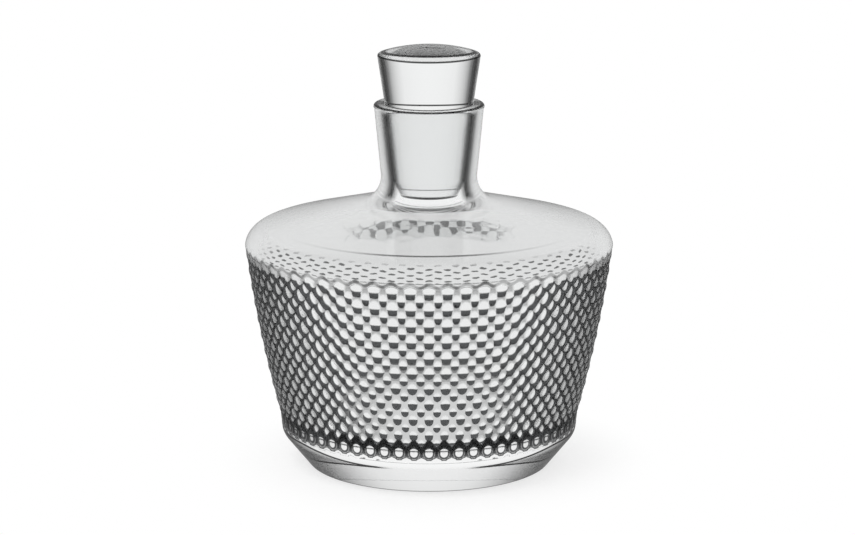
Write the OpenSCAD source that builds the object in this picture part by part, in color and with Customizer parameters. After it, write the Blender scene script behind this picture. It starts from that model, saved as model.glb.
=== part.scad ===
// Glass decanter with a ground glass stopper.
// Heavy round base, a conical wall covered in diamond-set beads, a smooth shoulder,
// a tapered neck, and a solid tapered stopper that is lifted straight out.
// Origin: centre of the foot, on the table. +Z is the axis of the decanter.

/* [Foot and base] */
// Diameter of the foot on the table
foot_d = 102; // [90:0.5:110]
// Rounding of the foot's edge
foot_round = 1; // [0.4:0.1:2]
// Width of the flat ring that the foot stands on
foot_ring_w = 6; // [4:0.5:10]
// Depth of the hollow under the foot
punt_depth = 1.5; // [0.8:0.1:3]
// Diameter where the lines of the flared base and the wall would meet
base_d = 124.2; // [118:0.2:130]
// Height of that corner
base_h = 13.8; // [12.5:0.1:14]
// Rounding of that corner
base_round = 6; // [3:0.2:6.4]
// How far above that corner the smooth base ends and the beads begin
base_edge_rise = 3; // [2.8:0.1:4.2]

/* [Beaded wall] */
// How far the tops of the lowest row stand outside the corner of the base
low_row_out = 0.65; // [0:0.05:1.2]
// How far the tops of the highest row stand inside the widest place
high_row_in = 0.6; // [0.3:0.05:1.2]
// How far the wall bows outwards between those rows
wall_bow = 1.2; // [0:0.1:2]
// Height of the lowest row above the edge of the base
low_row_gap = 3.6; // [2.5:0.1:4.5]
// How far the beads run up past the widest place
band_rise = 1.1; // [0.4:0.1:2]
// Rows of beads
rows = 21; // [15:2:21]
// Beads in one row
beads_around = 64; // [48:2:72]
// How far a bead stands out of the grooves round it
bead_h = 1.2; // [0.7:0.1:1.4]

/* [Shoulder and neck] */
// Widest diameter, where the wall turns into the shoulder
shoulder_d = 154.3; // [153:0.1:158]
// Height of the widest place
shoulder_h = 92.2; // [85:0.2:96]
// Rounding of the shoulder
shoulder_round = 8.8; // [6:0.2:12]
// Diameter where the lines of the shoulder and the neck would meet
neck_root_d = 38.4; // [37:0.2:42]
// Height of that corner
neck_root_h = 113.8; // [111:0.2:117]
// Rounding between the shoulder and the neck
neck_round = 10.8; // [6:0.2:13]
// Outer diameter of the neck under the lip
neck_top_d = 45.4; // [44:0.2:50]
// Height of the rim of the neck
rim_h = 152.8; // [145:0.2:165]
// How far the lip stands out of the neck
lip_out = 0.4; // [0.2:0.1:3]
// Height of the lip
lip_h = 2.5; // [2:0.1:4]

/* [Inside] */
// Thickness of the glass floor
floor_t = 18; // [15:0.5:24]
// Thickness of the wall, over the beads
wall_t = 5; // [4.5:0.1:7]
// Thickness of the shoulder
shoulder_t = 4.5; // [3.5:0.1:6]
// Rounding inside at the floor
floor_round = 9; // [5:0.5:14]
// Rounding inside at the shoulder
cavity_round = 7; // [4:0.5:9]
// Diameter of the tapered bore at the rim
bore_d = 37.2; // [34:0.1:38]
// How much the bore narrows on its diameter, per millimetre of depth
bore_taper = 0.214; // [0.16:0.002:0.24]
// Rounding where the bore opens into the inside
bore_round = 9.5; // [5:0.5:11]

/* [Stopper] */
// Gap between the ground faces of the stopper and the bore
stopper_gap = 0.15; // [0.05:0.05:0.3]
// Length of the plug below the rim
plug_len = 39.6; // [30:0.2:42]
// Rounding of the plug's lower edge
plug_round = 1.6; // [0.5:0.1:3]
// Height of the head, from the rim to its upper edge
head_h = 20.6; // [15:0.2:30]
// Diameter of the head at its upper edge
head_d = 43; // [40:0.2:48]
// Rounding of the head's upper edge
head_round = 1; // [0.4:0.1:2]
// Rise of the domed top
dome_h = 3.4; // [1.5:0.1:6]

/* [Hidden] */
$fn = 96;

// Steps on each rounded corner, and on each bowed line
corner_steps = 10;
bow_steps = 12;
// How far the core of the wall lies under the grooves between the beads
core_depth = 0.25;
// Thickness of the beaded sleeve behind the grooves
sleeve_t = 0.8;
// How far the sleeve laps into the smooth glass above and below it
sleeve_lap = 0.2;
// How far the run-out of the grooves lies inside the smooth glass
run_out = 0.08;

foot_r = foot_d / 2;
bore_r = bore_d / 2;
head_r = head_d / 2;
row_count = round(rows);
bead_count = round(beads_around);
base_edge_h = base_h + base_edge_rise;
band_top_h = shoulder_h + band_rise;
low_row_h = base_edge_h + low_row_gap;
row_pitch = (band_top_h - low_row_h) / row_count;
high_row_h = band_top_h - row_pitch;
band_low_d = base_d + 2 * low_row_out;
band_high_d = shoulder_d - 2 * high_row_in;
neck_root = [neck_root_d / 2, neck_root_h];
shoulder_mid = [shoulder_d / 2 - shoulder_round, shoulder_h];
// Angle on the shoulder's rounding where the beads end
band_turn = asin(band_rise / shoulder_round);
// The shoulder's straight line leaves its rounding at this angle, heading for the neck
to_neck = neck_root - shoulder_mid;
shoulder_turn = atan2(to_neck.y, to_neck.x) - acos(shoulder_round / norm(to_neck));
shoulder_lean = 90 - shoulder_turn;

// Radius over the beads at height z: a line between the outer rows plus a bow
function wall_r(z) =
    let (t = (z - low_row_h) / (high_row_h - low_row_h))
    (band_low_d + (band_high_d - band_low_d) * t) / 2 + 4 * wall_bow * t * (1 - t);

// Height of the shoulder's underside at radius r
function ceiling_z(r) =
    neck_root.y - (r - neck_root.x) * tan(shoulder_lean) - shoulder_t / cos(shoulder_lean);

// Radius of the tapered bore at height z
function bore_at(z) = bore_r - (rim_h - z) * bore_taper / 2;

function unit(v) = v / norm(v);
function wrap(a) = ((a + 540) % 360) - 180;

// Points on a circle about mid, from one angle to another
function arc(mid, r, from, to) =
    [for (i = [0:corner_steps])
        let (a = from + (to - from) * i / corner_steps)
        mid + r * [cos(a), sin(a)]];

// Points of the corner at b, between a and c, rounded to radius r
function corner(a, b, c, r) =
    let (
        u = unit(a - b),
        v = unit(c - b),
        half = acos(u * v) / 2,
        mid = b + unit(u + v) * r / sin(half),
        start = b + u * r / tan(half) - mid,
        end = b + v * r / tan(half) - mid,
        from = atan2(start.y, start.x)
    )
    arc(mid, r, from, from + wrap(atan2(end.y, end.x) - from));

// Points of the bowed wall between two heights, a depth inside the tops of the beads
function wall_line(z0, z1, depth) =
    [for (i = [0:bow_steps])
        let (z = z0 + (z1 - z0) * i / bow_steps)
        [wall_r(z) - depth, z]];

module turned(points) {
    rotate_extrude() polygon(points);
}

// Outside without the beads: base, core of the wall, shoulder, neck and lip
module smooth_outside() {
    foot = [foot_r, 0];
    base = [base_d / 2, base_h];
    base_edge = [wall_r(base_edge_h), base_edge_h];
    neck_top = [neck_top_d / 2, rim_h - lip_h];
    lip = neck_top + [lip_out, lip_h];
    turned(concat(
        [[0, punt_depth]],
        [[foot_r - foot_ring_w - punt_depth, punt_depth], [foot_r - foot_ring_w, 0]],
        corner([0, 0], foot, base, foot_round),
        corner(foot, base, base_edge, base_round),
        [base_edge],
        wall_line(base_edge_h, band_top_h, bead_h + core_depth),
        arc(shoulder_mid, shoulder_round, band_turn, shoulder_turn),
        corner(shoulder_mid + shoulder_round * [cos(shoulder_turn), sin(shoulder_turn)],
            neck_root, neck_top, neck_round),
        [neck_top],
        corner([lip.x, neck_top.y], lip, [0, rim_h], lip_h / 2),
        [[0, rim_h]]
    ));
}

// Beaded sleeve. Its points alternate between the top of a bead and a groove, both round
// and up, and its first and last rings run out into the smooth glass.
module beads() {
    sides = 2 * bead_count;
    last = row_count + 1;
    low_z = base_edge_h - sleeve_lap;
    high_z = band_top_h + sleeve_lap;
    low_r = wall_r(base_edge_h) - run_out;
    high_r = shoulder_mid.x + shoulder_round * cos(band_turn) - run_out;
    function ring_z(k) = k == 0 ? low_z : k == last ? high_z : low_row_h + (k - 1) * row_pitch;
    function ring_r(k, m) =
        k == 0 ? low_r : k == last ? high_r : wall_r(ring_z(k)) - ((k + m) % 2 == 0 ? bead_h : 0);
    function at(r, m, z) = [r * cos(360 * m / sides), r * sin(360 * m / sides), z];
    outside = [for (k = [0:last], m = [0:sides - 1]) at(ring_r(k, m), m, ring_z(k))];
    inside = [for (z = [low_z, high_z], m = [0:sides - 1])
        at(wall_r(z) - bead_h - sleeve_t, m, z)];
    low_in = len(outside);
    high_in = low_in + sides;
    high_out = last * sides;
    bead_faces = [for (k = [0:last - 1], m = [0:sides - 1])
        let (
            a = k * sides + m,
            b = k * sides + (m + 1) % sides,
            c = a + sides,
            d = b + sides
        )
        each (k + m) % 2 == 0 ? [[a, c, d], [a, d, b]] : [[a, c, b], [b, c, d]]];
    ring_faces = [for (m = [0:sides - 1])
        let (n = (m + 1) % sides)
        each [
            [m, n, low_in + n], [m, low_in + n, low_in + m],
            [high_out + m, high_in + m, high_in + n], [high_out + m, high_in + n, high_out + n],
            [low_in + m, low_in + n, high_in + n], [low_in + m, high_in + n, high_in + m]
        ]];
    polyhedron(concat(outside, inside), concat(bead_faces, ring_faces));
}

// Space inside: rounded floor, wall, shoulder, and the tapered bore of the neck
module inside() {
    floor_edge = [wall_r(floor_t) - wall_t, floor_t];
    top_r = wall_r(shoulder_h) - wall_t;
    top_edge = [top_r, ceiling_z(top_r)];
    mouth_z = ceiling_z(neck_root.x);
    mouth = [bore_at(mouth_z), mouth_z];
    past_rim = [bore_at(rim_h + lip_h), rim_h + lip_h];
    wall = wall_line(floor_t + floor_round, top_edge.y - cavity_round, wall_t);
    turned(concat(
        [[0, floor_t]],
        corner([0, floor_t], floor_edge, wall[0], floor_round),
        wall,
        corner(wall[bow_steps], top_edge, mouth, cavity_round),
        corner(top_edge, mouth, past_rim, bore_round),
        [past_rim, [0, past_rim.y]]
    ));
}

// Body of the decanter, one piece of clear glass
module decanter_body() {
    color("gainsboro", 0.6) union() {
        difference() {
            smooth_outside();
            inside();
        }
        beads();
    }
}

// Solid glass stopper: tapered plug, wider tapered head and a shallow domed top
module stopper() {
    plug_z = rim_h - plug_len;
    plug = [bore_at(plug_z) - stopper_gap, plug_z];
    seat = [bore_r - stopper_gap, rim_h];
    edge = [head_r, rim_h + head_h];
    dome_r = (head_r * head_r + dome_h * dome_h) / (2 * dome_h);
    dome_mid = [0, edge.y + dome_h - dome_r];
    dome_turn = acos((head_r - 2 * head_round) / dome_r);
    dome = arc(dome_mid, dome_r, dome_turn, 90);
    color("whitesmoke", 0.6) turned(concat(
        [[0, plug_z]],
        corner([0, plug_z], plug, seat, plug_round),
        [seat],
        corner(seat, edge, dome[0], head_round),
        dome
    ));
}

decanter_body();
stopper();
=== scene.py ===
"""Looks of a beaded glass decanter and its glass stopper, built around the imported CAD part."""

import math

import bpy
import numpy as np
from bpy.props import FloatProperty, FloatVectorProperty, IntProperty, PointerProperty
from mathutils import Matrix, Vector


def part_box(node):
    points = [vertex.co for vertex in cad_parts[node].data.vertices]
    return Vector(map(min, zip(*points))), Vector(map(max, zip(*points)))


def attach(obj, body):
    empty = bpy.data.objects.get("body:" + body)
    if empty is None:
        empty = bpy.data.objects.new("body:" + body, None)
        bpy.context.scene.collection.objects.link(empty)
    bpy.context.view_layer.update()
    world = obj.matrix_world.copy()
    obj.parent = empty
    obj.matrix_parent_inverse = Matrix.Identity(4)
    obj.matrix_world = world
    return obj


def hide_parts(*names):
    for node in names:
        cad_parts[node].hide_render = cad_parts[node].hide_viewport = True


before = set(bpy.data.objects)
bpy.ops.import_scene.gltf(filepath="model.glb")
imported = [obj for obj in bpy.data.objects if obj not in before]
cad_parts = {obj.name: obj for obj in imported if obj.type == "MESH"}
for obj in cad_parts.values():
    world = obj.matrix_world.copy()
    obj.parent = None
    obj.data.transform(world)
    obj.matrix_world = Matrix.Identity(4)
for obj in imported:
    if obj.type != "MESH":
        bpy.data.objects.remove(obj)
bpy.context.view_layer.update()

bl_info = {
    "name": "Beaded glass decanter",
    "version": (1, 0, 0),
    "blender": (4, 5, 0),
    "location": "3D View > Sidebar > Decanter",
    "description": "Builds a beaded glass decanter, its stopper and a plain stage",
    "category": "Add Mesh",
}

MM = 0.001
# What the frame and the photo give
RIM_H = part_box("decanter_body")[1].z
PHOTO_WIDTH = 855


def length(name, description, mm):
    """A length property, given in millimetres and kept in metres."""
    return FloatProperty(
        name=name, description=description, default=mm * MM, unit="LENGTH", precision=5
    )


def linear(hexa):
    """sRGB hex colour to the linear values that shaders work in."""
    srgb = np.array([int(hexa[i : i + 2], 16) for i in (1, 3, 5)]) / 255
    return np.where(srgb <= 0.04045, srgb / 12.92, ((srgb + 0.055) / 1.055) ** 2.4)


def colour(name, description, hexa):
    """A colour property, given as sRGB hex and kept as linear values."""
    return FloatVectorProperty(
        name=name,
        description=description,
        default=tuple(linear(hexa)),
        subtype="COLOR",
        min=0,
        max=1,
    )


class BodySizes(bpy.types.PropertyGroup):
    """Sizes of the decanter's body."""

    foot_d: length("Foot", "Diameter of the foot on the table", 102)
    foot_round: length("Foot rounding", "Rounding of the foot's edge", 1)
    foot_ring_w: length("Foot ring", "Width of the flat ring that the foot stands on", 6)
    punt_depth: length("Punt", "Depth of the hollow under the foot", 1.5)
    base_d: length("Base", "Diameter where the lines of base and wall would meet", 124.2)
    base_h: length("Base height", "Height of that corner", 13.8)
    base_round: length("Base rounding", "Rounding of that corner", 6)
    base_edge_h: length("Base edge", "Height where the smooth base ends", 16.8)
    low_row_d: length("Lowest row", "Diameter over the lowest row of beads", 125.5)
    high_row_d: length("Highest row", "Diameter over the highest row of beads", 153.1)
    wall_bow: length("Bow", "How far the wall bows outwards between those rows", 1.2)
    low_row_h: length("Lowest row height", "Height of the lowest row of beads", 20.4)
    band_top_h: length("Band top", "Height where the beads end", 93.3)
    rows: IntProperty(name="Rows", description="Rows of beads", default=21)
    beads_around: IntProperty(name="Beads", description="Beads in one row", default=64)
    bead_h: length("Bead height", "How far a bead stands out of the field", 1.2)
    bead_w: length("Bead width", "Width of a bead in the highest row", 6)
    bead_l: length("Bead length", "Upright length of a bead in the highest row", 7)
    low_bead_w: length("Low bead width", "Width of a bead low in the band", 3.8)
    low_bead_l: length("Low bead length", "Upright length of a bead low in the band", 5.2)
    small_row: FloatProperty(
        name="Small rows",
        description="Size of the beads in every second row, beside the others",
        default=0.84,
        subtype="FACTOR",
    )
    last_bead_w: length("Last bead width", "Width of a bead in the lowest row", 5.9)
    last_bead_l: length("Last bead length", "Upright length of a bead in the lowest row", 6.4)
    last_bead_drop: length("Last bead drop", "How far those beads hang below their row", 0.8)
    shoulder_d: length("Shoulder", "Widest diameter", 154.3)
    shoulder_h: length("Shoulder height", "Height of the widest place", 92.2)
    shoulder_round: length("Shoulder rounding", "Rounding of the shoulder", 8.8)
    neck_root_d: length("Neck root", "Diameter where shoulder and neck would meet", 38.4)
    neck_root_h: length("Neck root height", "Height of that corner", 113.8)
    neck_round: length("Neck rounding", "Rounding between shoulder and neck", 10.8)
    neck_top_d: length("Neck top", "Diameter of the neck under the lip", 45.4)
    rim_h: length("Rim", "Height of the rim of the neck", RIM_H / MM)
    lip_out: length("Lip", "How far the lip stands out of the neck", 0.4)
    lip_h: length("Lip height", "Height of the lip", 2.5)
    floor_t: length("Floor", "Thickness of the glass floor", 18)
    wall_t: length("Wall", "Thickness of the wall, over the beads", 5)
    shoulder_t: length("Shoulder glass", "Thickness of the shoulder", 4.5)
    floor_round: length("Floor rounding", "Rounding inside at the floor", 9)
    cavity_round: length("Cavity rounding", "Rounding inside at the shoulder", 7)
    bore_d: length("Bore", "Diameter of the tapered bore at the rim", 37.2)
    bore_taper: FloatProperty(
        name="Bore taper", description="How much the bore narrows over its depth", default=0.214
    )
    bore_round: length("Bore rounding", "Rounding where the bore opens inside", 3)


class StopperSizes(bpy.types.PropertyGroup):
    """Sizes of the stopper."""

    gap: length("Gap", "Gap between the stopper and the bore", 0.15)
    plug_len: length("Plug", "Length of the plug below the rim", 39.6)
    plug_round: length("Plug rounding", "Rounding of the plug's lower edge", 1)
    head_h: length("Head height", "Height of the head over the rim", 20.6)
    head_d: length("Head", "Diameter of the head at its upper edge", 43)
    head_round: length("Head rounding", "Rounding of the head's upper edge", 1)
    dome_h: length("Dome", "Rise of the domed top", 3.4)


class GlassColours(bpy.types.PropertyGroup):
    """Colours of the glass, the shade painted on it, and the stage."""

    clear: colour("Clear", "Colour of light that has passed the glass", "#F6F7F7")
    # The shade is painted shade, laid on the beads' undersides where the glass would turn light
    # away
    shade: colour("Shade", "Colour that the glass takes where it turns light away", "#5C5D5E")
    floor: colour("Floor", "Colour of the stage's floor", "#F4F4F4")


def arc(mid, radius, start, end, steps):
    """Points on a circle about mid: mid + radius * (cos a, sin a), a from start to end."""
    a = np.linspace(start, end, steps + 1)
    return np.asarray(mid) + radius * np.stack([np.cos(a), np.sin(a)], axis=1)


def corner(a, b, c, radius, steps=12):
    """Points of the corner at b between a and c, rounded: an arc that touches both lines."""
    a, b, c = (np.asarray(p, float) for p in (a, b, c))
    u = (a - b) / np.linalg.norm(a - b)
    v = (c - b) / np.linalg.norm(c - b)
    half = math.acos(float(u @ v)) / 2
    mid = b + (u + v) / np.linalg.norm(u + v) * radius / math.sin(half)
    first = b + u * radius / math.tan(half) - mid
    last = b + v * radius / math.tan(half) - mid
    start = math.atan2(first[1], first[0])
    turn = math.atan2(last[1], last[0]) - start
    turn = (turn + math.pi) % (2 * math.pi) - math.pi
    return arc(mid, radius, start, start + turn, steps)


def line(a, b, steps):
    """Points strictly between a and b, evenly spaced."""
    t = np.linspace(0, 1, steps + 1)[1:-1, None]
    return np.asarray(a) * (1 - t) + np.asarray(b) * t


def turned(profile, columns):
    """Rings of a turned surface: (r, z) on the profile becomes (r cos a, r sin a, z)."""
    a = 2 * np.pi * np.arange(columns) / columns
    r, z = profile[:, :1], profile[:, 1:]
    x, y = r * np.cos(a), r * np.sin(a)
    return np.stack([x, y, np.broadcast_to(z, x.shape)], axis=2)


def strips(first, rings, columns, flip=None):
    """Two triangles for each cell between neighbouring rings, closed round the seam.
    flip says, cell by cell, which of the two diagonals splits it."""
    k, m = np.meshgrid(np.arange(rings - 1), np.arange(columns), indexing="ij")
    a = first + k * columns + m
    b = first + k * columns + (m + 1) % columns
    c, d = a + columns, b + columns
    plain = np.stack([a, b, d, a, d, c], axis=2)
    if flip is not None:
        plain = np.where(flip[:, :, None], np.stack([a, b, c, b, d, c], axis=2), plain)
    return plain.reshape(-1, 3)


def stitch(coarse, fine, columns, share, up):
    """Triangles from a ring of few columns to a ring of share times as many.
    coarse and fine are the rings' first vertices; up is true if fine lies further along."""
    m = np.arange(columns)
    near, far = coarse + m, coarse + (m + 1) % columns
    step = fine + (m[:, None] * share + np.arange(share + 1)) % (columns * share)
    middle = share // 2
    pivot = np.where(np.arange(share) < middle, near[:, None], far[:, None])
    fan = np.stack([pivot, step[:, 1:], step[:, :-1]], axis=2).reshape(-1, 3)
    faces = np.concatenate([fan, np.stack([near, far, step[:, middle]], axis=1)])
    return faces if up else faces[:, ::-1]


def pole(tip, ring, columns, up):
    """Triangles from one ring to a single point on the axis."""
    m = np.arange(columns)
    faces = np.stack([ring + m, ring + (m + 1) % columns, np.full(columns, tip)], axis=1)
    return faces if up else faces[:, ::-1]


def mesh_object(name, points, faces):
    """A smooth mesh object at the origin, from points and triangles."""
    mesh = bpy.data.meshes.new(name)
    mesh.vertices.add(len(points))
    mesh.vertices.foreach_set("co", points.astype(np.float32).ravel())
    mesh.loops.add(faces.size)
    mesh.loops.foreach_set("vertex_index", faces.astype(np.int32).ravel())
    mesh.polygons.add(len(faces))
    mesh.polygons.foreach_set("loop_start", np.arange(0, faces.size, 3, dtype=np.int32))
    mesh.polygons.foreach_set("use_smooth", np.ones(len(faces), bool))
    mesh.update(calc_edges=True)
    if mesh.validate():
        raise RuntimeError(f"{name} has faces that Blender had to mend")
    piece = bpy.data.objects.new(name, mesh)
    bpy.context.scene.collection.objects.link(piece)
    return piece


def smoothstep(x, low, high):
    """0 below low, 1 above high, and 3t^2 - 2t^3 between them."""
    t = np.clip((x - low) / (high - low), 0, 1)
    return t * t * (3 - 2 * t)


def row_pitch(s):
    """Height from one row of beads to the next."""
    return (s.band_top_h - s.low_row_h) / s.rows


def rows_h(s):
    """Height from the lowest row of beads to the highest."""
    return row_pitch(s) * (s.rows - 1)


def wall_r(s, z):
    """Radius over the beads at height z: a line between the outer rows plus a parabola's bow."""
    t = (z - s.low_row_h) / rows_h(s)
    return (s.low_row_d + (s.high_row_d - s.low_row_d) * t) / 2 + 4 * s.wall_bow * t * (1 - t)


def low_slope(s):
    """Slope of the wall from the base's corner to the lowest row."""
    return (s.low_row_d - s.base_d) / 2 / (s.low_row_h - s.base_h)


def outer_r(s, z):
    """As wall_r, but a plain line to the base's corner below the lowest row."""
    above = wall_r(s, np.maximum(z, s.low_row_h))
    return above + np.minimum(z - s.low_row_h, 0) * low_slope(s)


def bore_r(s, z):
    """Radius of the tapered bore at height z."""
    return s.bore_d / 2 - (s.rim_h - z) * s.bore_taper / 2


# Grid steps from one column or row of beads to the next
BAND_STEPS = 5
# Rows that the band reaches below the lowest row, and that the field takes to end on top
BAND_LOW = 1.2
FIELD_END = 1.0
# Flatness of a bead's cap: 1 is half an ellipsoid
BEAD_EDGE = 0.88
# Start of the field in rows: its middle, its swing from column to column, its softness
SCALLOP = (-0.92, 0.18, 0.1)
# Share of the relief at the lowest row, and the rows over which it becomes full
LOW_RELIEF = 0.55
RELIEF_ROWS = 1.5


def bead_band(s):
    """The beaded wall on a grid of angle and height. Each bead is an oval cap that stands on
    a recessed field: h = height * (sqrt(1 - e d^2) - sqrt(1 - e)) / (1 - sqrt(1 - e)), where d is
    the distance from the bead's top in units of its half width and half height. Beads sit
    where column and row add up to an even number. They grow from row to row upwards, those of
    every second row are smaller, and those of the lowest row are larger and flatter. The
    field starts in scallops round the lowest row, and rises to the shoulder over the highest.
    Returns the points, ring by ring from below, and which way each cell is split."""
    columns = 2 * s.beads_around * BAND_STEPS
    rings = round((s.rows + BAND_LOW) * BAND_STEPS) + 1
    across = np.arange(columns) / BAND_STEPS
    p, q = np.meshgrid(across, np.arange(rings) / BAND_STEPS - BAND_LOW)
    z = s.low_row_h + q * row_pitch(s)
    r = outer_r(s, z)
    step = np.pi * r / s.beads_around
    cap = np.zeros_like(r)
    edge = math.sqrt(1 - BEAD_EDGE)
    for right in (0, 1):
        for above in (0, 1, 2):
            column, row = np.floor(p) + right, np.floor(q) + above
            on = ((column + row) % 2 == 0) & (row >= 0) & (row < s.rows)
            share = np.where(row % 2 == 0, 1, s.small_row)
            up = np.clip(row / (s.rows - 1), 0, 1)
            wide = (s.low_bead_w + (s.bead_w - s.low_bead_w) * up) * share
            tall = (s.low_bead_l + (s.bead_l - s.low_bead_l) * up) * share
            wide = np.where(row == 0, s.last_bead_w, wide)
            tall = np.where(row == 0, s.last_bead_l, tall)
            dx = (p - column) * step / (wide / 2)
            drop = np.where(row == 0, s.last_bead_drop, 0)
            dz = ((q - row) * row_pitch(s) + drop) / (tall / 2)
            d2 = np.minimum(dx * dx + dz * dz, 1)
            h = share * (np.sqrt(1 - BEAD_EDGE * d2) - edge) / (1 - edge)
            cap = np.maximum(cap, np.where(on, h, 0))
    middle, swing, soft = SCALLOP
    start = middle - swing * np.cos(np.pi * p)
    field = smoothstep(q, start - soft, start + soft) - smoothstep(q, s.rows - FIELD_END, s.rows)
    deep = s.bead_h * (LOW_RELIEF + (1 - LOW_RELIEF) * smoothstep(q, 0, RELIEF_ROWS))
    r = r - deep * field * (1 - cap)
    a = 2 * np.pi * across / (2 * s.beads_around)
    points = np.stack([r * np.cos(a), r * np.sin(a), z], axis=2)
    cell = (np.floor(p) + np.floor(q)) % 2 == 0
    return points, cell[:-1]


# Roundings of the lip outside and of the rim inside, as shares of the lip's height
LIP_ROUND, RIM_ROUND = 1 / 2, 1 / 6
# Steps of the sections under the foot and along the wall inside
PUNT_STEPS, WALL_STEPS = 16, 21


def body_profiles(s):
    """Half sections of the body's turned parts, as (r, z): under the foot, the base, the
    shoulder with neck and rim, and the inside from the rim to the floor."""
    foot = (s.foot_d / 2, 0)
    base = (s.base_d / 2, s.base_h)
    low_z = s.low_row_h - BAND_LOW * row_pitch(s)
    base_edge = (outer_r(s, low_z), low_z)
    ring_in = foot[0] - s.foot_ring_w
    r = np.linspace(0, ring_in, PUNT_STEPS + 1)[1:]
    under = np.stack([r, s.punt_depth * (1 - smoothstep(r, 0, ring_in))], axis=1)
    base_line = np.concatenate(
        [
            corner((0, 0), foot, base, s.foot_round, 6),
            corner(foot, base, base_edge, s.base_round, 12),
        ]
    )
    mid = np.array([s.shoulder_d / 2 - s.shoulder_round, s.shoulder_h])
    root = np.array([s.neck_root_d / 2, s.neck_root_h])
    way = root - mid
    turn = math.atan2(way[1], way[0]) - math.acos(s.shoulder_round / np.linalg.norm(way))
    leave = mid + s.shoulder_round * np.array([math.cos(turn), math.sin(turn)])
    band_turn = math.asin((s.band_top_h - s.shoulder_h) / s.shoulder_round)
    neck_top = np.array([s.neck_top_d / 2, s.rim_h - s.lip_h])
    lip = neck_top + (s.lip_out, s.lip_h)
    neck = corner(leave, root, neck_top, s.neck_round, 14)
    shoulder = np.concatenate(
        [
            arc(mid, s.shoulder_round, band_turn, turn, 14)[1:],
            line(leave, neck[0], 6),
            neck,
            line(neck[-1], neck_top, 5),
            [neck_top],
            corner((lip[0], neck_top[1]), lip, (0, lip[1]), s.lip_h * LIP_ROUND, 8),
        ]
    )
    lean = math.pi / 2 - turn

    def ceiling(r):
        """Height of the inside's ceiling: the shoulder's line, lowered by its glass."""
        drop = (r - root[0]) * math.tan(lean)
        return root[1] - drop - s.shoulder_t / math.cos(lean)

    floor_edge = (wall_r(s, s.floor_t) - s.wall_t, s.floor_t)
    top_r = wall_r(s, s.shoulder_h) - s.wall_t
    top_edge = (top_r, ceiling(top_r))
    mouth = (bore_r(s, ceiling(root[0])), ceiling(root[0]))
    rim = (s.bore_d / 2, s.rim_h)
    ends = (s.floor_t + s.floor_round, top_edge[1] - s.cavity_round)
    z = np.linspace(*ends, WALL_STEPS + 1)
    wall = np.stack([wall_r(s, z) - s.wall_t, z], axis=1)
    at_floor = corner((0, s.floor_t), floor_edge, wall[0], s.floor_round)
    at_top = corner(wall[-1], top_edge, mouth, s.cavity_round)
    at_mouth = corner(top_edge, mouth, rim, s.bore_round)
    inside = np.concatenate(
        [
            line((0, s.floor_t), at_floor[0], 8),
            at_floor,
            wall[1:-1],
            at_top,
            line(at_top[-1], at_mouth[0], 6),
            at_mouth,
            line(at_mouth[-1], rim, 8),
            corner(mouth, rim, lip, s.lip_h * RIM_ROUND, 4),
        ]
    )
    return under, base_line, shoulder, inside[::-1]


# Columns of the band for each column of the smooth parts
COLUMN_SHARE = 4


def body_mesh(s):
    """One closed shell: hollow of the foot, base, beaded wall, shoulder, neck, rim, inside."""
    band, cell = bead_band(s)
    rings, fine = band.shape[:2]
    columns = fine // COLUMN_SHARE
    under, base_line, shoulder, inside = body_profiles(s)
    below = turned(np.concatenate([under, base_line]), columns)
    above = turned(np.concatenate([shoulder, inside]), columns)
    tips = np.array([[0, 0, s.punt_depth], [0, 0, s.floor_t]])
    band_at = len(tips) + len(below) * columns
    above_at = band_at + rings * fine
    points = np.concatenate([tips] + [part.reshape(-1, 3) for part in (below, band, above)])
    faces = np.concatenate(
        [
            pole(0, len(tips), columns, False),
            strips(len(tips), len(below), columns),
            stitch(band_at - columns, band_at, columns, COLUMN_SHARE, True),
            strips(band_at, rings, fine, cell),
            stitch(above_at, above_at - fine, columns, COLUMN_SHARE, False),
            strips(above_at, len(above), columns),
            pole(1, above_at + (len(above) - 1) * columns, columns, True),
        ]
    )
    return points, faces


STOPPER_COLUMNS = 192


def stopper_mesh(s, body):
    """One closed turned solid: tapered plug, wider head with a rounded edge, domed top."""
    low = body.rim_h - s.plug_len
    plug = (bore_r(body, low) - s.gap, low)
    seat = (body.bore_d / 2 - s.gap, body.rim_h)
    edge = (s.head_d / 2, body.rim_h + s.head_h)
    dome_r = (edge[0] ** 2 + s.dome_h**2) / (2 * s.dome_h)
    dome_mid = (0, edge[1] + s.dome_h - dome_r)
    dome_turn = math.acos((edge[0] - 2 * s.head_round) / dome_r)
    dome = arc(dome_mid, dome_r, dome_turn, math.pi / 2, 24)
    foot = corner((0, low), plug, seat, s.plug_round, 10)
    head = corner(seat, edge, dome[0], s.head_round, 10)
    profile = np.concatenate(
        [
            line((0, low), foot[0], 8),
            foot,
            line(foot[-1], seat, 10),
            [seat],
            line(seat, head[0], 8),
            head,
            dome[:-1],
        ]
    )
    rings = turned(profile, STOPPER_COLUMNS)
    tips = np.array([[0, 0, low], [0, 0, dome[-1, 1]]])
    points = np.concatenate([tips, rings.reshape(-1, 3)])
    last = len(tips) + (len(rings) - 1) * STOPPER_COLUMNS
    faces = np.concatenate(
        [
            pole(0, len(tips), STOPPER_COLUMNS, False),
            strips(len(tips), len(rings), STOPPER_COLUMNS),
            pole(1, last, STOPPER_COLUMNS, True),
        ]
    )
    return points, faces


MIX = "ShaderNodeMix"
RANGE = "ShaderNodeMapRange"
RAMP = "ShaderNodeValToRGB"
VECTOR = "ShaderNodeVectorMath"
COORDS = "ShaderNodeTexCoord"
SPLIT = "ShaderNodeSeparateXYZ"
JOIN = "ShaderNodeCombineXYZ"
NOISE = "ShaderNodeTexNoise"
WEIGHT = "ShaderNodeLayerWeight"
PATH = "ShaderNodeLightPath"
SMOOTH = {"interpolation_type": "SMOOTHSTEP"}


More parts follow.
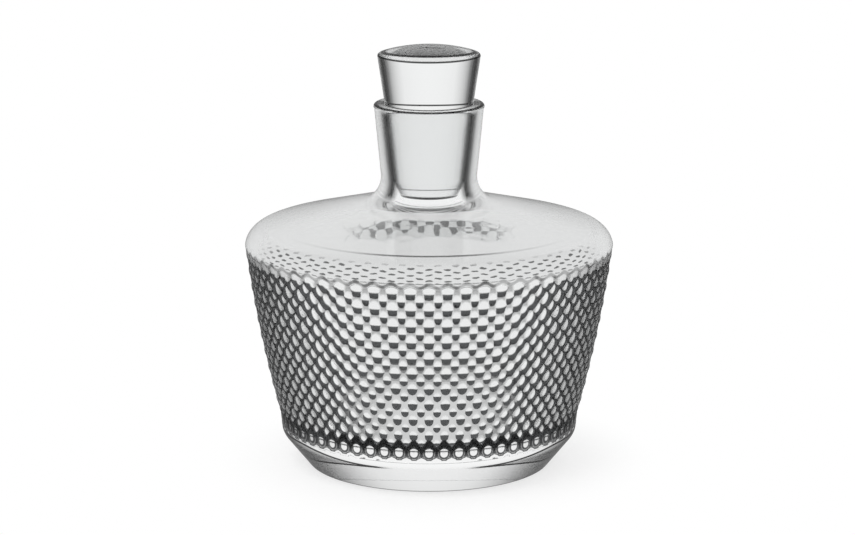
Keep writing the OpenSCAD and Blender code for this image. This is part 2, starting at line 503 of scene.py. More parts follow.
def node(tree, kind, inputs=(), out=0, stops=(), **settings):
    """Adds a node with its settings, links or sets its inputs, and gives back one output.
    kind is a type of node, or what a Math node works out. inputs go by the sockets' order or,
    as a dict, by their keys. stops are the positions and grey levels of a colour ramp."""
    if not kind.startswith("ShaderNode"):
        kind, settings = "ShaderNodeMath", {"operation": kind, **settings}
    made = tree.nodes.new(kind)
    for key, value in settings.items():
        setattr(made, key, value)
    for key, value in inputs.items() if isinstance(inputs, dict) else enumerate(inputs):
        if isinstance(value, bpy.types.NodeSocket):
            tree.links.new(value, made.inputs[key])
        else:
            made.inputs[key].default_value = value
    for i, (position, level) in enumerate(stops):
        elements = made.color_ramp.elements
        element = elements[i] if i < 2 else elements.new(position)
        element.position = position
        element.color = (level, level, level, 1)
    return made.outputs[out]


def between(tree, value, low, high, soft):
    """1 where value lies between low and high and 0 elsewhere, with soft ends."""
    ends = [node(tree, RANGE, (value, at - soft, at + soft), **SMOOTH) for at in (low, high)]
    return node(tree, "SUBTRACT", ends)


def facing(*degrees):
    """What Layer Weight's Facing gives where rays meet the surface at those angles."""
    return [1 - math.cos(math.radians(angle)) for angle in degrees]


def tint(hexa):
    """A painted shade on the glass: the shader takes the square root of it on each face."""
    return (*linear(hexa) ** 2, 1)


GLASS_IOR = 1.52
MIRRORED = "#606060"
# Painted shade: share of light that the glass's tint passes, by the angle in degrees at which a
# ray meets it. It stands in for the dark edges inside the outline that a thick wall, a solid plug
# and a bead show where each turns away the light of some angles. DARK_LINE and FINE_LINE are
# painted dark lines.
BASE_EDGE = [(0, 0.97), (40, 0.95), (56, 0.88), (60, 0.8), (64, 0.62), (68, 0.42), (72, 0.26)]
BASE_EDGE += [(76, 0.14), (83, 0.06), (90, 0.05)]
BEAD_SIDE = [(0, 0.9), (46, 0.9), (57, 0.68), (67, 0.4), (76, 0.27), (90, 0.25)]
SHOULDER = [(0, 0.8), (63, 0.79), (66, 0.84), (75, 0.93), (84, 0.92), (90, 0.7)]
CAVITY_LINE = [(0, 0.6), (54, 0.6), (60, 0.25), (63.2, 0.25), (63.8, 0.5), (65, 0.8)]
CAVITY_LINE += [(68, 0.94), (72, 1), (90, 1)]
NECK_EDGE = [(0, 0.95), (44, 0.95), (49, 0.45), (52, 0.1), (56, 0.08), (60, 0.24), (65, 0.6)]
NECK_EDGE += [(72, 0.8), (85, 0.92), (90, 0.92)]
BORE_EDGE = [(0, 0.97), (18, 0.96), (26, 0.92), (32, 0.85), (37, 0.5), (41, 0.08), (90, 0.04)]
LIP_SIDE = [(0, 1), (58, 1), (68, 0.5), (78, 0.15), (90, 0.1)]
HEAD_EDGE = [(0, 0.97), (36, 0.9), (45.6, 0.72), (53, 0.48), (57, 0.26), (62, 0.09)]
HEAD_EDGE += [(67.6, 0.03), (71, 0.04), (76, 0.14), (84, 0.55), (90, 0.8)]
PLUG_EDGE = [(0, 0.98), (45, 0.95), (56, 0.85), (63, 0.55), (69, 0.2), (76, 0.1), (84, 0.3)]
PLUG_EDGE += [(90, 0.5)]
DARK_LINE = [(0, 0.08), (90, 0.08)]
FINE_LINE = [(0, 0.25), (90, 0.25)]
# Rays that a zone is for, and heights past either end of the object
FRONT, BACK, BOTH = range(3)
BELOW, ABOVE = -1, 1
# A ray that has passed more faces than this is left alone
PASSED = 1.5


class Glass:
    """Clear glass, fire polished: it bends what lies behind it and mirrors the room faintly. Its
    dark edges, where real glass turns light away, are painted shade in the tint, which is built
    up zone by zone."""

    def __init__(self, name, colours):
        self.mat = bpy.data.materials.new(name)
        self.mat.use_nodes = True
        tree = self.tree = self.mat.node_tree
        self.shader = tree.nodes["Principled BSDF"]
        glass = {"Transmission Weight": 1, "Roughness": 0, "IOR": GLASS_IOR}
        glass["Specular Tint"] = (*linear(MIRRORED), 1)
        for socket, value in glass.items():
            self.shader.inputs[socket].default_value = value
        self.angle = node(tree, WEIGHT, out="Facing")
        self.back = node(tree, "ShaderNodeNewGeometry", out="Backfacing")
        self.place = node(tree, COORDS, out="Object")
        self.x, self.y, self.z = node(tree, SPLIT, [self.place]).node.outputs
        flat = node(tree, JOIN, (self.x, self.y))
        self.r = node(tree, VECTOR, [flat], "Value", operation="LENGTH")
        # how far the outer face leans up, whichever side of it the ray meets
        lean = node(tree, SPLIT, [node(tree, COORDS, out="Normal")], "Z")
        turn = node(tree, "MULTIPLY_ADD", (self.back, -2.0, 1.0))
        self.lean = node(tree, "MULTIPLY", (lean, turn))
        # how a ray meets an upright cylinder there
        self.round = self.meets(flat)
        self.tint = (*colours.clear, 1)

    def meets(self, way):
        """How a ray meets a plain surface that looks that way, as Layer Weight gives it."""
        settings = {"vector_type": "NORMAL", "convert_from": "OBJECT", "convert_to": "WORLD"}
        way = node(self.tree, "ShaderNodeVectorTransform", [way], **settings)
        way = node(self.tree, VECTOR, [way], operation="NORMALIZE")
        return node(self.tree, WEIGHT, {"Normal": way}, "Facing")

    def side(self, mask, side):
        """Keeps a mask to rays that enter the glass, that leave it, or both."""
        if side == BOTH:
            return mask
        keep = "SUBTRACT" if side == FRONT else "MULTIPLY"
        return node(self.tree, keep, (mask, self.back), use_clamp=True)

    def lay(self, mask, shade):
        """Paints shade: darkens the tint by a shade, where the mask is 1."""
        settings = {"data_type": "RGBA", "blend_type": "MULTIPLY"}
        self.tint = node(self.tree, MIX, {0: mask, 6: self.tint, 7: shade}, 2, **settings)

    def zone(self, low, high, soft, stops, side=FRONT, within=None, angle=None):
        """A painted shade between two heights, by the angle at which a ray meets the glass. The
        shader takes the square root of it on each face, so the levels are squared here."""
        squared = [(*facing(degrees), level * level) for degrees, level in stops]
        mask = self.side(between(self.tree, self.z, low, high, soft), side)
        if within is not None:
            mask = node(self.tree, "MULTIPLY", (mask, within))
        self.lay(mask, node(self.tree, RAMP, [angle or self.angle], stops=squared))

    def done(self, past=None, leaving=None):
        """Joins the tint to the shader. Where past is 1, the glass no longer bends a ray that
        has already passed two faces, so that the far wall stays clear. Where leaving is 1, it
        bends no ray that leaves it."""
        tree = self.tree
        tree.links.new(self.tint, self.shader.inputs["Base Color"])
        if past is not None:
            depth = node(tree, PATH, out="Transmission Depth")
            clear = node(tree, "GREATER_THAN", (depth, PASSED))
            clear = node(tree, "MULTIPLY", (clear, past))
            clear = node(tree, "MAXIMUM", (clear, self.side(leaving, BACK)))
            air = node(tree, "ShaderNodeBsdfTransparent")
            mix = node(tree, "ShaderNodeMixShader", (clear, self.shader.outputs[0], air))
            tree.links.new(mix, tree.nodes["Material Output"].inputs["Surface"])
        return self.mat


def plain_wall(g, s):
    """The wall over the beads, as wall_r and outer_r have it: where a place lies between the
    outer rows, how deep it lies below that wall, and how a ray meets the wall there."""
    tree = g.tree
    t = node(tree, "SUBTRACT", (g.z, s.low_row_h))
    t = node(tree, "DIVIDE", (t, rows_h(s)))
    down = node(tree, "MINIMUM", (t, 0.0))
    t = node(tree, "MAXIMUM", (t, 0.0))
    fall = rows_h(s) * low_slope(s)
    low = node(tree, "MULTIPLY_ADD", (down, fall, s.low_row_d / 2))
    spread = (s.high_row_d - s.low_row_d) / 2 + 4 * s.wall_bow
    wall = node(tree, "MULTIPLY_ADD", (t, -4 * s.wall_bow, spread))
    wall = node(tree, "MULTIPLY_ADD", (t, wall, low))
    depth = node(tree, "SUBTRACT", (wall, g.r))
    slope = (t, 8 * s.wall_bow / rows_h(s), -spread / rows_h(s))
    sunk = node(tree, "MULTIPLY", (node(tree, "MULTIPLY_ADD", slope), g.r))
    return t, depth, g.meets(node(tree, JOIN, (g.x, g.y, sunk)))


def column_wave(g, s):
    """The cosine of bead count times angle: 1 at the beads of even rows, -1 between them."""
    turn = node(g.tree, "ARCTAN2", (g.y, g.x))
    turn = node(g.tree, "MULTIPLY", (turn, float(s.beads_around)))
    return node(g.tree, "COSINE", [turn])


# Painted shade on the lowest row: dark rings round its hearts, and the half-moons over them, by
# the depth below a bead's top
RINGS = [(0.1, 0), (0.13, 1), (0.24, 1), (0.28, 0.85), (0.31, 0.85), (0.36, 1), (0.6, 1)]
MOON = (0.18, 0.24)
# How much narrower the hearts get sideways
HEART_TURN = facing(36, 72)
HEART_NARROW = 0.1
# A thin painted dark line between hearts and half-moons, which start within MOON_SOFT of the row
HEART_LINE = (-0.1 * MM, 0.4 * MM)
HEART_LINE_SOFT = 0.15 * MM
MOON_SOFT = 0.1 * MM


def lowest_row(g, s, depth, plain):
    """Painted shade on the lowest row: bright hearts in dark rings below, half-moons above."""
    tree = g.tree
    share = node(tree, "DIVIDE", (depth, s.bead_h))
    narrow = node(tree, RANGE, (plain, *HEART_TURN, 0.0, HEART_NARROW), **SMOOTH)
    share = node(tree, "ADD", (share, narrow))
    ring = node(tree, RAMP, [share], stops=RINGS)
    moon = node(tree, RANGE, (share, *MOON), **SMOOTH)
    ends = (s.low_row_h - MOON_SOFT, s.low_row_h + MOON_SOFT)
    upper = node(tree, RANGE, (g.z, *ends), **SMOOTH)
    ring = node(tree, MIX, {0: upper, 2: ring, 3: moon})
    ends = [s.low_row_h + over for over in HEART_LINE]
    thin = between(tree, g.z, *ends, HEART_LINE_SOFT)
    return node(tree, "MAXIMUM", (ring, thin))


# Ends of the shaded band, below the base's edge and the band's top
BAND_ENDS = (1 * MM, 1.5 * MM)
BAND_SOFT = 0.5 * MM
SIDE_SOFT = 1.5 * MM
# Rows of the far wall that show through the shoulder with their painted shade, below the band's
# top, and how squarely a ray has to meet them
FAR_ROWS = (11 * MM, 3 * MM)
FAR_SOFT = 2 * MM
FAR_TURN = facing(14, 30)
FAR_SHADE = 0.9
# Painted grey shade on the field, by the depth beside a bead's height
PAINTED_FIELD_SHADE = "#C4C4C4"
FIELD_EDGE = (0.3, 0.9)
# Low in the band the beads stand apart: the field's painted shade is lighter there, and a bead's
# painted shade reaches only down to APART_EDGE of its height, but up to a higher lean
APART_ROWS = (0.3, 0.6)
APART_EDGE = (0.62, 0.84)
APART_LIGHTER = 0.4
APART_LEVEL = 0.2
# Lean under which a bead gets painted shade, at the lowest and at the highest row
BEAD_LEVEL = (-0.27, -0.205)
BEAD_SOFT = 0.05
# Sideways, a bead gets painted shade by how far it turns away from the eye beside the wall, with
# one threshold where a ray meets the wall squarely and one where it only grazes it
SIDE_TURN = facing(28, 46)
BEAD_TURN = (-0.06, 0.43)
# The painted black band over the floor of the inside: its ends over the floor, how far it rises
# at the beads, its shade, how far it shifts the beads' painted dark parts, and how it fades
# sideways
DEEP_BAND = (2.5 * MM, 6.2 * MM)
DEEP_SOFT = 0.6 * MM
DEEP_RISE = 1.6 * MM
PAINTED_DEEP_SHADE = "#909090"
DEEP_SHIFT = 0.55
DEEP_TURN = facing(44, 62)
DEEP_SIDE = 0.3
# Heights over the lowest row where it ends, and under the band's top where the shades end
LOWEST_END = (2.4 * MM, 2.8 * MM)
TOP_END = (3.6 * MM, 3 * MM)


def bead_shades(g, s, colours):
    """Painted shade on the beaded wall. Where a real bead's underside turns light away, the tint
    paints each bead a dark half under a bright one, by how far its face leans down or turns from
    the eye, and paints the field between the beads greyer than they are. Just over the floor of
    the inside a painted black band runs round. Gives back the part of the far wall that shows
    through the shoulder."""
    tree = g.tree
    t, depth, plain = plain_wall(g, s)
    below, under_top = BAND_ENDS
    ends = (s.base_edge_h - below, s.band_top_h - under_top)
    band = between(tree, g.z, *ends, BAND_SOFT)
    outside = node(tree, "LESS_THAN", (depth, s.wall_t / 2))
    band = node(tree, "MULTIPLY", (band, outside))
    # seen from inside, only the highest rows of the far wall keep their shades
    ends = [s.band_top_h - drop for drop in FAR_ROWS]
    far = node(tree, RANGE, (plain, *FAR_TURN, 1.0, 0.0), **SMOOTH)
    far = node(tree, "MULTIPLY", (between(tree, g.z, *ends, FAR_SOFT), far))
    shown = node(tree, "MULTIPLY", (far, FAR_SHADE))
    shown = node(tree, MIX, {0: g.back, 2: 1.0, 3: shown})
    band = node(tree, "MULTIPLY", (band, shown))
    # painted grey on the field, which is lighter where the beads stand apart
    aside = g.side(node(tree, RANGE, (plain, *SIDE_TURN), **SMOOTH), FRONT)
    apart = node(tree, RANGE, (t, *APART_ROWS, 1.0, 0.0), **SMOOTH)
    apart = node(tree, "SUBTRACT", (apart, aside), use_clamp=True)
    edges = [edge * s.bead_h for edge in FIELD_EDGE]
    field = node(tree, RANGE, (depth, *edges), **SMOOTH)
    lighter = node(tree, "MULTIPLY_ADD", (apart, -APART_LIGHTER, 1.0))
    field = node(tree, "MULTIPLY", (field, lighter))
    g.lay(node(tree, "MULTIPLY", (band, field)), tint(PAINTED_FIELD_SHADE))
    # the painted black band rises at each bead of an even row
    rise = node(tree, "MULTIPLY_ADD", (column_wave(g, s), -DEEP_RISE, g.z))
    ends = [s.floor_t + over for over in DEEP_BAND]
    deep = between(tree, rise, *ends, DEEP_SOFT)
    front = node(tree, RANGE, (plain, *DEEP_TURN, 1.0, DEEP_SIDE), **SMOOTH)
    deep = node(tree, "MULTIPLY", (deep, front))
    g.zone(s.base_edge_h, s.band_top_h, SIDE_SOFT, BEAD_SIDE, angle=plain)
    # sideways: how far a bead's face turns away from the eye, beside the plain wall
    turned_to = node(tree, "SUBTRACT", (plain, g.angle))
    low, high = BEAD_TURN
    away = node(tree, "MULTIPLY_ADD", (plain, high - low, low))
    away = node(tree, "SUBTRACT", (away, turned_to))
    # in the middle: how far it leans down
    low, high = BEAD_LEVEL
    level = node(tree, "MULTIPLY_ADD", (t, high - low, low))
    level = node(tree, "MULTIPLY_ADD", (apart, APART_LEVEL, level))
    under = node(tree, "SUBTRACT", (level, g.lean))
    under = node(tree, MIX, {0: aside, 2: under, 3: away})
    under = node(tree, "MULTIPLY_ADD", (deep, DEEP_SHIFT, under))
    under = node(tree, RANGE, (under, -BEAD_SOFT, BEAD_SOFT), **SMOOTH)
    edges = [edge * s.bead_h for edge in APART_EDGE]
    off = node(tree, RANGE, (depth, *edges), **SMOOTH)
    off = node(tree, "MULTIPLY", (off, apart))
    off = node(tree, "SUBTRACT", (off, deep), use_clamp=True)
    under = node(tree, "SUBTRACT", (under, off), use_clamp=True)
    ends = [s.low_row_h + over for over in LOWEST_END]
    lowest = node(tree, RANGE, (g.z, *ends, 1.0, 0.0), **SMOOTH)
    dark = node(tree, MIX, {0: lowest, 2: under, 3: lowest_row(g, s, depth, plain)})
    ends = [s.band_top_h - drop for drop in TOP_END]
    beneath = node(tree, RANGE, (g.z, *ends, 1.0, 0.0), **SMOOTH)
    dark = node(tree, "MULTIPLY", (dark, beneath))
    dark = node(tree, "MULTIPLY", (dark, band))
    # painted shade on the beads' dark parts, and a deeper painted shade in the black band
    g.lay(dark, (*np.array(colours.shade) ** 2, 1))
    g.lay(node(tree, "MULTIPLY", (dark, deep)), tint(PAINTED_DEEP_SHADE))
    return far


# Painted dark arches over the highest row: their swing from bead to bead, their ends over the
# band's top
ARCH = 0.8 * MM
ARCH_BAND = (-1.6 * MM, 0.2 * MM)
ARCH_SOFT = 0.5 * MM
# Painted dark dashes above: height of a row, unevenness, height of them all, edges and where they
# end
IMAGE_ROW = 1.1 * MM
UNEVEN = 5 * MM
UNEVEN_ROWS = 1.6
IMAGE_H = 6.8 * MM
IMAGE_SOFT = 0.8 * MM
IMAGE_EDGE = (0.05, 0.5)
IMAGE_TURN = facing(58, 74)
# The arches are weaker where the unevenness is low
BROKEN = (0.4, 0.6, 0.7, 1.0)
# Level of the painted shade of the arches and dashes
IMAGE_LEVEL = 0.05


def painted_bead_images(g, s):
    """Painted dark images of the beads on the rounding over them, which gathers such images in
    real glass: an arch over each bead of the highest row, and rows of uneven dashes above."""
    tree = g.tree
    along = column_wave(g, s)
    rise = node(tree, "SUBTRACT", (g.z, s.band_top_h))
    arch = node(tree, "MULTIPLY_ADD", (along, -ARCH, rise))
    arches = between(tree, arch, *ARCH_BAND, ARCH_SOFT)
    uneven = node(tree, NOISE, {"Vector": g.place, "Scale": 1 / UNEVEN})
    shift = node(tree, "MULTIPLY_ADD", (uneven, UNEVEN_ROWS * IMAGE_ROW, rise))
    shift = node(tree, "MULTIPLY", (shift, math.pi / IMAGE_ROW))
    rows = node(tree, "COSINE", [shift])
    # the third power of the rows makes flat dashes of the images
    thin = node(tree, "MULTIPLY", (rows, rows))
    thin = node(tree, "MULTIPLY", (thin, rows))
    grid = node(tree, "MULTIPLY", (along, thin))
    images = node(tree, RANGE, (grid, *IMAGE_EDGE), **SMOOTH)
    rounding = between(tree, g.z, s.band_top_h, s.band_top_h + IMAGE_H, IMAGE_SOFT)
    images = node(tree, "MULTIPLY", (images, rounding))
    # the silhouette's rounding shows none
    shown = node(tree, RANGE, (g.round, *IMAGE_TURN, 1.0, 0.0), **SMOOTH)
    images = node(tree, "MULTIPLY", (images, shown))
    broken = node(tree, RANGE, (uneven, *BROKEN), **SMOOTH)
    arches = node(tree, "MULTIPLY", (arches, broken))
    mask = node(tree, "MAXIMUM", (images, arches))
    g.lay(g.side(mask, FRONT), (IMAGE_LEVEL, IMAGE_LEVEL, IMAGE_LEVEL, 1))


# Painted reflection in the base, dark lines with grey between them: the tip's depth under the
# corner, how far the lines part from it up and down, their half width, and the angles over which
# they start and part
TAIL_TIP = 1.4 * MM
TAIL_RISE = 3.2 * MM
TAIL_FALL = 4.5 * MM
TAIL_LINE = 0.45 * MM
TAIL_SOFT = 0.15 * MM
TAIL_START = facing(21, 27)
TAIL_TURN = facing(22, 64)
TAIL_FILL = "#D8D8D8"
TAIL_DARK = "#505050"


def painted_base_reflection(g, s):
    """Painted reflection of the floor of the inside in the thick base: on each side two dark
    lines part from a tip under the base's corner, and the glass between them is painted grey."""
    tree = g.tree
    part = node(tree, RANGE, (g.round, *TAIL_TURN), **SMOOTH)
    shown = node(tree, RANGE, (g.round, *TAIL_START), **SMOOTH)
    rise = node(tree, "SUBTRACT", (g.z, s.base_h - TAIL_TIP))
    over = node(tree, "MULTIPLY_ADD", (part, -TAIL_RISE, rise))
    under = node(tree, "MULTIPLY_ADD", (part, TAIL_FALL, rise))
    lines = [between(tree, edge, -TAIL_LINE, TAIL_LINE, TAIL_SOFT) for edge in (over, under)]
    dark = node(tree, "MAXIMUM", lines)
    inside = node(tree, RANGE, (over, 0.0, TAIL_LINE, 1.0, 0.0), **SMOOTH)
    fill = node(tree, RANGE, (under, -TAIL_LINE, 0.0), **SMOOTH)
    fill = node(tree, "MULTIPLY", (inside, fill))
    for mask, shade in ((fill, TAIL_FILL), (dark, TAIL_DARK)):
        mask = node(tree, "MULTIPLY", (mask, shown))
        g.lay(g.side(mask, FRONT), tint(shade))


# Soft ends of the body's zones
BASE_SOFT = 0.6 * MM
SHOULDER_SOFT = 1.5 * MM
NECK_SOFT = 3 * MM
FINE_SOFT = 0.2 * MM
# How much lower the angle of the neck's painted dark bands is at its root
NECK_TAPER = 0.06
# Height of the painted fine line at the foot, and where the bore's painted dark edges start over
# the neck's root
FOOT_LINE = 0.5 * MM
BORE_START = 4 * MM
# The lip's painted dark line: its height, and how far it reaches in
LIP_LINE = 0.7 * MM
LIP_IN = 1 * MM
# The painted fine line of the cavity's rounding in the shoulder: half its width, its softness,
# and the softness of its ends
CAVITY_W = 0.7 * MM
CAVITY_SOFT = 0.3 * MM
CAVITY_END = 1 * MM
# Mould waves on the shoulder: their length and height, and where they start
WAVE = 9 * MM
WAVE_H = 0.05 * MM
WAVE_START = 6 * MM
WAVE_SOFT = 3 * MM
# The base is clear for rays that leave it, from the foot to just over the inside's floor
CLEAR_LOW = 0.5 * MM
CLEAR_OVER = 4.5 * MM
CLEAR_IN = 3 * MM


def body_glass(s, colours):
    """Pressed glass of the body: smooth base, beads with dark undersides, shoulder, neck. Its
    dark edges, lines, bands and undersides and its grey shoulder are painted shade in the tint.
    """
    g = Glass("pressed_glass", colours)
    tree = g.tree
    # painted shade at the base's edges, and a painted fine line at the foot
    g.zone(BELOW, s.base_edge_h, BASE_SOFT, BASE_EDGE)
    g.zone(BELOW, FOOT_LINE, FINE_SOFT, FINE_LINE)
    painted_base_reflection(g, s)
    # painted grey on the shoulder, by the angle at which a ray meets it
    g.zone(s.band_top_h, s.neck_root_h, SHOULDER_SOFT, SHOULDER)
    # the neck's painted dark bands follow the taper of the plug in it
    taper = node(tree, RANGE, (g.z, s.neck_root_h, s.rim_h, NECK_TAPER, 0.0), **SMOOTH)
    taper = node(tree, "ADD", (g.round, taper))
    g.zone(s.neck_root_h, s.rim_h, NECK_SOFT, NECK_EDGE, angle=taper)
    # painted dark edges at the bore, and a painted dark line and sides at the lip
    bore = node(tree, "LESS_THAN", (g.r, s.bore_d / 2 + s.lip_out))
    g.zone(s.neck_root_h + BORE_START, ABOVE, SHOULDER_SOFT, BORE_EDGE, BACK, bore)
    lip = node(tree, "GREATER_THAN", (g.r, s.neck_top_d / 2 - LIP_IN))
    g.zone(s.rim_h - LIP_LINE, ABOVE, FINE_SOFT, DARK_LINE, BOTH, lip)
    g.zone(s.rim_h - LIP_LINE, ABOVE, FINE_SOFT, LIP_SIDE, angle=g.round)
    # the cavity's rounding starts at a painted fine line in the shoulder
    start = wall_r(s, s.shoulder_h) - s.wall_t - s.cavity_round
    edge = between(tree, g.r, start - CAVITY_W, start + CAVITY_W, CAVITY_SOFT)
    g.zone(s.shoulder_h, s.neck_root_h, CAVITY_END, CAVITY_LINE, within=edge)
    far = bead_shades(g, s, colours)
    painted_bead_images(g, s)
    # mould waves on the shoulder make what shows through it uneven
    waves = node(tree, NOISE, {"Vector": g.place, "Scale": 1 / WAVE, "Detail": 1.0})
    slope = between(tree, g.z, s.band_top_h + WAVE_START, s.neck_root_h, WAVE_SOFT)
    waves = node(tree, "MULTIPLY", (waves, slope))
    bump = node(tree, "ShaderNodeBump", {"Distance": WAVE_H, "Height": waves})
    tree.links.new(bump, g.shader.inputs["Normal"])
    base = between(tree, g.z, CLEAR_LOW, s.floor_t + CLEAR_OVER, FINE_SOFT)
    beyond = node(tree, "GREATER_THAN", (g.r, s.foot_d / 2 - CLEAR_IN))
    base = node(tree, "MULTIPLY", (base, beyond))
    return g.done(node(tree, "SUBTRACT", (1.0, far)), base)


# Painted shade on the dome: light that its tint passes, by the share of its radius, which shrinks
# sideways by DOME_BEND
DOME = [(0, 0.035), (0.6, 0.035), (0.76, 0.02), (0.79, 0.7), (0.93, 0.8), (1, 0.3)]
DOME_BEND = 0.13
DOME_START = 0.2 * MM
DOME_SOFT = 0.1 * MM
# The dome's painted dark heart: where it fades sideways, and how it weakens towards the back
DOME_SIDE = (0.42, 0.72)
DOME_BACK = (*facing(66, 87), 1.0, 0.82)
# The painted thick line that closes the heart in front
DOME_LINE = (0.71, 0.81)
DOME_LINE_SOFT = 0.012
DOME_LINE_LEVEL = 0.004
# Painted dark lines at the head's upper edge, at the seat, and round the plug's lower edge, which
# is as high as PLUG_LINE roundings
HEAD_LINE = (-0.6 * MM, 0.15 * MM)
SEAT_LINE = (-0.5 * MM, 0.3 * MM)
LINE_SOFT = 0.15 * MM
PLUG_LINE = 1.9
PLUG_START = 2
EDGE_SOFT = 0.3 * MM


def stopper_glass(s, body, colours):
    """Polished solid glass, with painted shade in its tint: dark lines where its edges are
    rounded, a dark heart in its dome.
    """
    g = Glass("solid_glass", colours)
    tree = g.tree
    edge = body.rim_h + s.head_h
    low = body.rim_h - s.plug_len
    # painted dark edges of the head and the plug, by the angle at which a ray meets them
    g.zone(body.rim_h, edge, EDGE_SOFT, HEAD_EDGE)
    g.zone(low + PLUG_START * s.plug_round, body.rim_h, EDGE_SOFT, PLUG_EDGE)
    dome = g.side(between(tree, g.z, edge + DOME_START, ABOVE, DOME_SOFT), FRONT)
    share = node(tree, "DIVIDE", (g.r, s.head_d / 2))
    aside = node(tree, "MULTIPLY", (share, g.round))
    heart = node(tree, RANGE, (aside, *DOME_SIDE, 1.0, 0.0), **SMOOTH)
    behind = node(tree, RANGE, (g.angle, *DOME_BACK), **SMOOTH)
    heart = node(tree, "MULTIPLY", (heart, behind))
    heart = node(tree, "MULTIPLY", (dome, heart))
    share = node(tree, "MULTIPLY_ADD", (g.round, -DOME_BEND, share))
    g.lay(heart, node(tree, RAMP, [share], stops=DOME))
    closing = between(tree, share, *DOME_LINE, DOME_LINE_SOFT)
    closing = node(tree, "MULTIPLY", (dome, closing))
    g.lay(closing, (DOME_LINE_LEVEL, DOME_LINE_LEVEL, DOME_LINE_LEVEL, 1))
    for height, (down, up) in ((edge, HEAD_LINE), (body.rim_h, SEAT_LINE)):
        g.zone(height + down, height + up, LINE_SOFT, DARK_LINE, BOTH)
    g.zone(BELOW, low + PLUG_LINE * s.plug_round, EDGE_SOFT, DARK_LINE)
    return g.done()


class DECANTER_OT_body(bpy.types.Operator):
    """Build the decanter's body with its beaded wall"""

    bl_idname = "decanter.body"
    bl_label = "Body"

    def execute(self, context):
        sizes, colours = context.scene.decanter_body, context.scene.decanter_colours
        piece = mesh_object("decanter_glass", *body_mesh(sizes))
        piece.data.materials.append(body_glass(sizes, colours))
        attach(piece, "decanter")
        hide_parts("decanter_body")
        return {"FINISHED"}


class DECANTER_OT_stopper(bpy.types.Operator):
    """Build the solid glass stopper"""

    bl_idname = "decanter.stopper"
    bl_label = "Stopper"

    def execute(self, context):
        scene = context.scene
        sizes, body = scene.decanter_stopper, scene.decanter_body
        piece = mesh_object("stopper_glass", *stopper_mesh(sizes, body))
        piece.data.materials.append(stopper_glass(sizes, body, scene.decanter_colours))
        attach(piece, "stopper")
        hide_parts("stopper")
        return {"FINISHED"}


# How bright the room is in the glass's mirror, beside what shows through the glass
ROOM = 0.25
# How much higher the white sweep reaches behind the object, and how the sky darkens upwards
SWEEP = 0.5
SKY = (0.1, 0.6, 1.0, 0.3)


def seen_level(tree, over=1.0):
    """Level of the white studio for a ray: full for the camera and for matt things, dimmed by
    over for a ray that glass bends, and dimmer still for one that glass mirrors."""
    path = node(tree, PATH).node.outputs
    # a ray that has passed the glass counts as glossy too
    bent = node(tree, "MINIMUM", (path["Transmission Depth"], 1.0))
    room = node(tree, MIX, {0: bent, 2: ROOM, 3: 1.0})
    glass = node(tree, "MULTIPLY", (over, room))
    return node(tree, MIX, {0: path["Is Glossy Ray"], 2: 1.0, 3: glass})


def studio_world(world):
    """A plain studio: white behind and low down, greyer overhead, and a room that glass
    mirrors less brightly than the white that it shows behind it."""
    world.use_nodes = True
    tree = world.node_tree
    way = node(tree, COORDS, out="Generated")
    _, back, up = node(tree, SPLIT, [way]).node.outputs
    back = node(tree, "MAXIMUM", (back, 0.0))
    up = node(tree, "MULTIPLY_ADD", (back, -SWEEP, up))
    level = seen_level(tree, node(tree, RANGE, (up, *SKY), **SMOOTH))
    sky = tree.nodes["Background"]
    sky.inputs["Color"].default_value = (1, 1, 1, 1)
    tree.links.new(level, sky.inputs["Strength"])


PAPER_ROUGH = 0.9
# Distances between which the paper runs out to white, and the share of white at either
PAPER_WHITE = (0.05, 0.1, 0.7, 1.0)


def floor_material(colours):
    """Matt white studio paper. It keeps a soft shadow near the object and runs out to white."""
    mat = bpy.data.materials.new("studio_paper")
    mat.use_nodes = True
    tree = mat.node_tree
    paper = tree.nodes["Principled BSDF"]
    paper.inputs["Roughness"].default_value = PAPER_ROUGH
    paper.inputs["Base Color"].default_value = (*colours.floor, 1)
    path = node(tree, PATH).node.outputs
    place = node(tree, COORDS, out="Object")
    away = node(tree, VECTOR, [place], "Value", operation="LENGTH")
    white = node(tree, RANGE, (away, *PAPER_WHITE), **SMOOTH)
    share = node(tree, "MULTIPLY", (path["Is Camera Ray"], white))
    for other in ("Is Glossy Ray", "Is Transmission Ray"):
        share = node(tree, "MAXIMUM", (share, path[other]))
    glow = node(tree, "ShaderNodeEmission", {"Strength": seen_level(tree)})
    mix = node(tree, "ShaderNodeMixShader", (share, paper.outputs[0], glow))
    tree.links.new(mix, tree.nodes["Material Output"].inputs["Surface"])
    return mat


FLOOR_SIZE = 6
FLOOR_Z = -0.1 * MM
LAMP_AT = Vector((-0.5, -0.6, 1.3))
LAMP_SIZE = 0.8
LAMP_POWER = 8
# The photo's camera: size of a pixel at the object, and pixels that the axis lies off middle
CAMERA_AT = Vector((0, -1.3085, 0.3855))
CAMERA_LOOKS_AT = Vector((0, 0, 0.0827))
PIXEL = 0.42 * MM
AXIS_OFF = 1.5
SENSOR = 36
NEAREST = 0.01
# Light in thick glass needs many bounces
BOUNCES = {"max": 48, "transmission": 48, "glossy": 32, "transparent_max": 48}


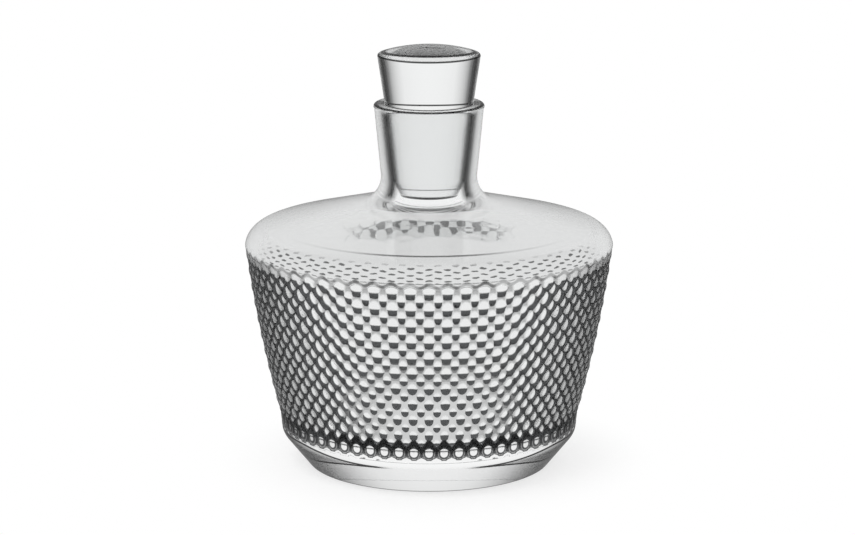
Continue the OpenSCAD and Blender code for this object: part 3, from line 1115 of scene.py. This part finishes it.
class DECANTER_OT_stage(bpy.types.Operator):
    """Build the floor, the light and the camera"""

    bl_idname = "decanter.stage"
    bl_label = "Stage"

    def execute(self, context):
        scene = context.scene
        half = FLOOR_SIZE / 2
        corners = [(-half, -half), (half, -half), (half, half), (-half, half)]
        mesh = bpy.data.meshes.new("floor")
        mesh.from_pydata([(x, y, FLOOR_Z) for x, y in corners], [], [(0, 1, 2, 3)])
        floor = bpy.data.objects.new("floor", mesh)
        scene.collection.objects.link(floor)
        mesh.materials.append(floor_material(scene.decanter_colours))
        scene.world = bpy.data.worlds.new("studio")
        studio_world(scene.world)
        lamp = bpy.data.lights.new("soft_box", "AREA")
        lamp.shape = "DISK"
        lamp.size = LAMP_SIZE
        lamp.energy = LAMP_POWER
        box = bpy.data.objects.new("soft_box", lamp)
        box.location = LAMP_AT
        box.rotation_euler = (-LAMP_AT).to_track_quat("-Z", "Y").to_euler()
        box.visible_glossy = False
        box.visible_transmission = False
        scene.collection.objects.link(box)
        data = bpy.data.cameras.new("camera")
        camera = bpy.data.objects.new("camera", data)
        scene.collection.objects.link(camera)
        way = CAMERA_LOOKS_AT - CAMERA_AT
        camera.location = CAMERA_AT
        camera.rotation_euler = (math.pi / 2 + math.atan2(way.z, way.y), 0, 0)
        data.sensor_fit = "HORIZONTAL"
        data.sensor_width = SENSOR
        data.lens = SENSOR * way.length / (PIXEL * PHOTO_WIDTH)
        data.shift_x = -AXIS_OFF / PHOTO_WIDTH
        data.clip_start = NEAREST
        scene.camera = camera
        scene.view_settings.view_transform = "Standard"
        for kind, count in BOUNCES.items():
            setattr(scene.cycles, f"{kind}_bounces", count)
        return {"FINISHED"}


class DECANTER_PT_sidebar(bpy.types.Panel):
    """Sizes, colours and the pieces to build"""

    bl_idname = "DECANTER_PT_sidebar"
    bl_label = "Decanter"
    bl_space_type = "VIEW_3D"
    bl_region_type = "UI"
    bl_category = "Decanter"

    def draw(self, context):
        for operator in OPERATORS:
            self.layout.operator(operator.bl_idname)
        for slot in GROUPS:
            group = getattr(context.scene, slot)
            box = self.layout.box()
            for name in group.__annotations__:
                box.prop(group, name)


GROUPS = {
    "decanter_body": BodySizes,
    "decanter_stopper": StopperSizes,
    "decanter_colours": GlassColours,
}
OPERATORS = (DECANTER_OT_body, DECANTER_OT_stopper, DECANTER_OT_stage)
CLASSES = (*GROUPS.values(), *OPERATORS, DECANTER_PT_sidebar)


def register():
    """Adds the classes and the sizes and colours that a scene holds."""
    for cls in CLASSES:
        bpy.utils.register_class(cls)
    for slot, group in GROUPS.items():
        setattr(bpy.types.Scene, slot, PointerProperty(type=group))


def unregister():
    """Takes away what register added."""
    for slot in GROUPS:
        delattr(bpy.types.Scene, slot)
    for cls in reversed(CLASSES):
        bpy.utils.unregister_class(cls)


def main():
    """Builds the pieces and the stage."""
    register()
    bpy.ops.decanter.body()
    bpy.ops.decanter.stopper()
    bpy.ops.decanter.stage()


if __name__ == "__main__":
    main()
